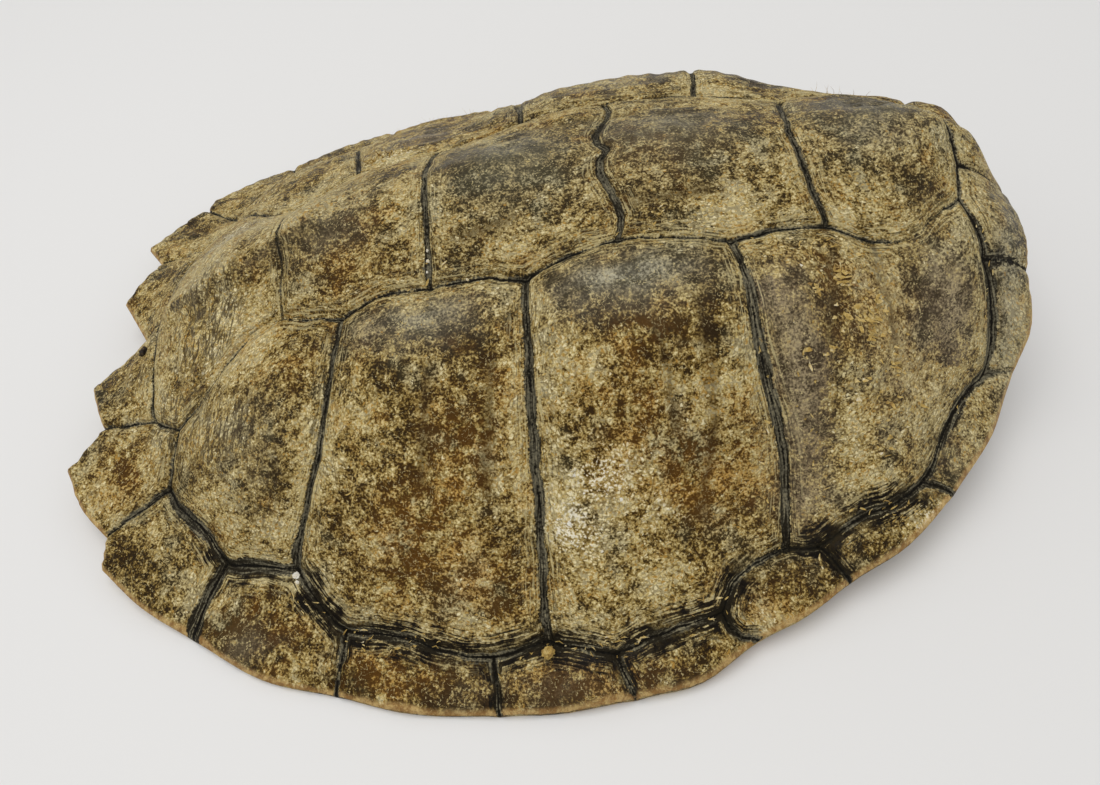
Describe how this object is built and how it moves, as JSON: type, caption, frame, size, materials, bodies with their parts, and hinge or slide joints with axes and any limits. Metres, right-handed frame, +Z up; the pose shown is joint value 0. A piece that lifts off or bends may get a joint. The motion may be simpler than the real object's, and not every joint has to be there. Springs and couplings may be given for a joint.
{
  "type": "turtle carapace",
  "caption": "Domed upper shell of a large snapping turtle, dried and weathered, with keeled scutes between dark grooves and a serrated tail edge. A natural history display piece or prop.",
  "frame": {"origin": "bottom centre of the bounding box, level with the rims of the two bridges that the shell rests on", "axes": "+X forward to the neck end, +Y to the shell's left, +Z up through the crest of the dome"},
  "size_m": [0.3174, 0.285, 0.0818],
  "materials": {
    "horn": "weathered horny scutes over bone, olive brown with dense tan flecks, near-black seams, semi-matte"
  },
  "bodies": {
    "root": {"carapace": "horn"}
  },
  "joints": []
}
